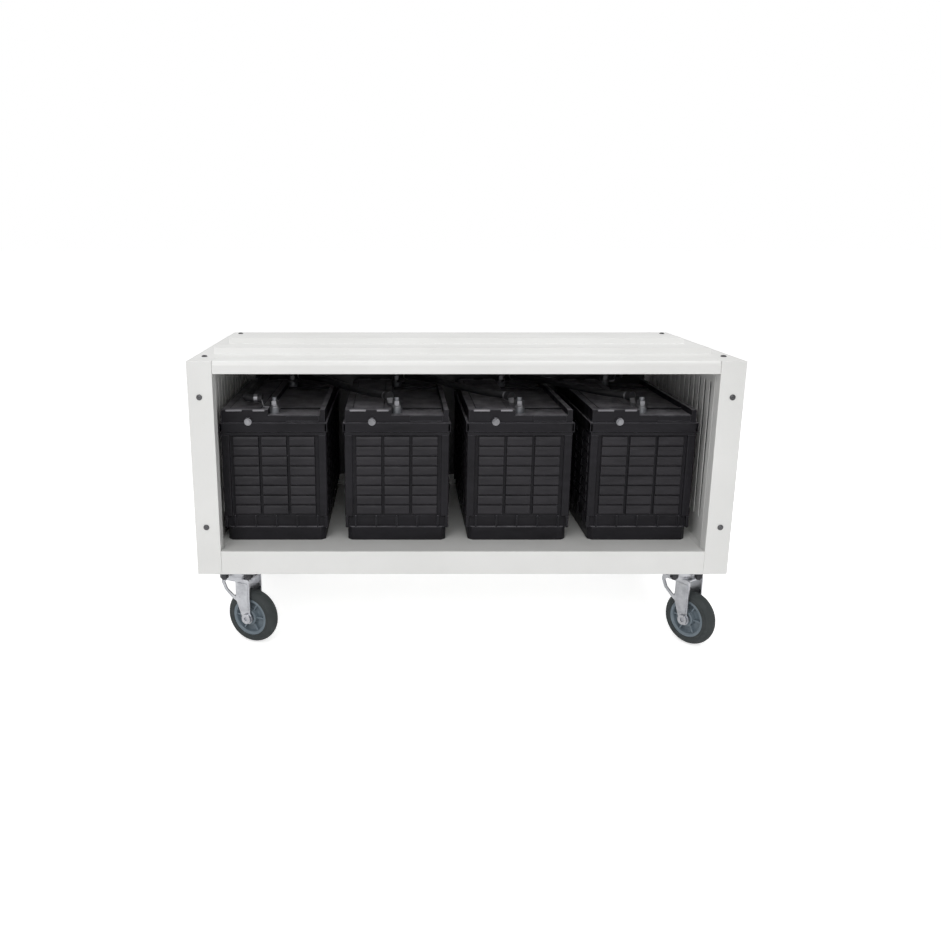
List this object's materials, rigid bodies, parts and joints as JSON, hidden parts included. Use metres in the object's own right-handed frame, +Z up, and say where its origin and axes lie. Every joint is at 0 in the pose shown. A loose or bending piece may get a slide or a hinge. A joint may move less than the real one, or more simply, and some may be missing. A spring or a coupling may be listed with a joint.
{
  "type": "wheeled battery cabinet",
  "caption": "Low open-fronted steel cabinet on swivel casters, holding lead-acid batteries end-on in a row, joined in series by cables across their lids.",
  "frame": {"origin": "on the floor, under the middle of the cabinet", "axes": "+Z up; the open front faces -Y; +X is to the right of a person facing the front"},
  "size_m": [0.86, 0.4566, 0.488],
  "materials": {
    "powder_coat": "semi-gloss off-white powder coat on folded steel sheet",
    "dark_panel": "near-black powder coat on steel sheet",
    "black_oxide": "black-oxide steel fasteners",
    "battery_plastic": "satin charcoal moulded plastic",
    "valve_rubber": "soft black rubber",
    "lead": null,
    "bright_zinc": "bright zinc-plated steel",
    "cable_jacket": "satin black cable jacket with tinned lugs",
    "gland_plastic": "black moulded nylon",
    "zinc_plate": "zinc-plated pressed steel",
    "bearing_steel": "ground bearing steel",
    "hub_plastic": "blue-grey moulded nylon",
    "tyre_rubber": "dark grey rubber tread"
  },
  "bodies": {
    "cabinet": {"side_panel_left": "powder_coat", "side_panel_right": "powder_coat", "side_liner_left": "powder_coat", "side_liner_right": "powder_coat", "bottom_tray": "powder_coat", "header_rail": "powder_coat", "top_panel": "powder_coat", "back_panel": "dark_panel", "base_channel_front": "powder_coat", "base_channel_rear": "powder_coat", "side_screws": "black_oxide", "top_screws": "black_oxide", "back_screws": "black_oxide", "cable_glands": "gland_plastic", "battery_1_case": "battery_plastic", "battery_2_case": "battery_plastic", "battery_3_case": "battery_plastic", "battery_4_case": "battery_plastic", "battery_1_lid": "battery_plastic", "battery_2_lid": "battery_plastic", "battery_3_lid": "battery_plastic", "battery_4_lid": "battery_plastic", "plate_groups": "lead", "cell_straps": "lead", "pressure_valves": "valve_rubber", "vent_covers": "battery_plastic", "terminal_posts": "lead", "terminal_nuts": "bright_zinc", "front_terminal_bolts": "bright_zinc", "jumper_cable_1": "cable_jacket", "jumper_cable_2": "cable_jacket", "jumper_cable_3": "cable_jacket", "positive_lead": "cable_jacket", "negative_lead": "cable_jacket", "caster_plates": "zinc_plate", "caster_bolts": "black_oxide", "caster_nuts": "black_oxide", "kingpins": "zinc_plate"},
    "swivel_front_left": {"fork_front_left": "zinc_plate", "axle_front_left": "zinc_plate"},
    "wheel_front_left": {"hub_front_left": "hub_plastic", "tyre_front_left": "tyre_rubber", "bearings_front_left": "bearing_steel"},
    "swivel_front_right": {"fork_front_right": "zinc_plate", "axle_front_right": "zinc_plate"},
    "wheel_front_right": {"hub_front_right": "hub_plastic", "tyre_front_right": "tyre_rubber", "bearings_front_right": "bearing_steel"},
    "swivel_rear_left": {"fork_rear_left": "zinc_plate", "axle_rear_left": "zinc_plate"},
    "wheel_rear_left": {"hub_rear_left": "hub_plastic", "tyre_rear_left": "tyre_rubber", "bearings_rear_left": "bearing_steel"},
    "swivel_rear_right": {"fork_rear_right": "zinc_plate", "axle_rear_right": "zinc_plate"},
    "wheel_rear_right": {"hub_rear_right": "hub_plastic", "tyre_rear_right": "tyre_rubber", "bearings_rear_right": "bearing_steel"}
  },
  "joints": [
    {"name": "turn_front_left", "type": "hinge", "parent": "cabinet", "child": "swivel_front_left", "pos_m": [-0.371, -0.168, 0.1145], "axis": [0, 0, 1], "continuous": true},
    {"name": "roll_front_left", "type": "hinge", "parent": "swivel_front_left", "child": "wheel_front_left", "pos_m": [-0.34853, -0.17896, 0.046], "axis": [-0.4384, -0.8988, 0], "continuous": true},
    {"name": "turn_front_right", "type": "hinge", "parent": "cabinet", "child": "swivel_front_right", "pos_m": [0.371, -0.168, 0.1145], "axis": [0, 0, 1], "continuous": true},
    {"name": "roll_front_right", "type": "hinge", "parent": "swivel_front_right", "child": "wheel_front_right", "pos_m": [0.38569, -0.18823, 0.046], "axis": [-0.809, -0.5878, 0], "continuous": true},
    {"name": "turn_rear_left", "type": "hinge", "parent": "cabinet", "child": "swivel_rear_left", "pos_m": [-0.371, 0.168, 0.1145], "axis": [0, 0, 1], "continuous": true},
    {"name": "roll_rear_left", "type": "hinge", "parent": "swivel_rear_left", "child": "wheel_rear_left", "pos_m": [-0.34853, 0.17896, 0.046], "axis": [0.4384, -0.8988, 0], "continuous": true},
    {"name": "turn_rear_right", "type": "hinge", "parent": "cabinet", "child": "swivel_rear_right", "pos_m": [0.371, 0.168, 0.1145], "axis": [0, 0, 1], "continuous": true},
    {"name": "roll_rear_right", "type": "hinge", "parent": "swivel_rear_right", "child": "wheel_rear_right", "pos_m": [0.38569, 0.18823, 0.046], "axis": [0.809, -0.5878, 0], "continuous": true}
  ]
}
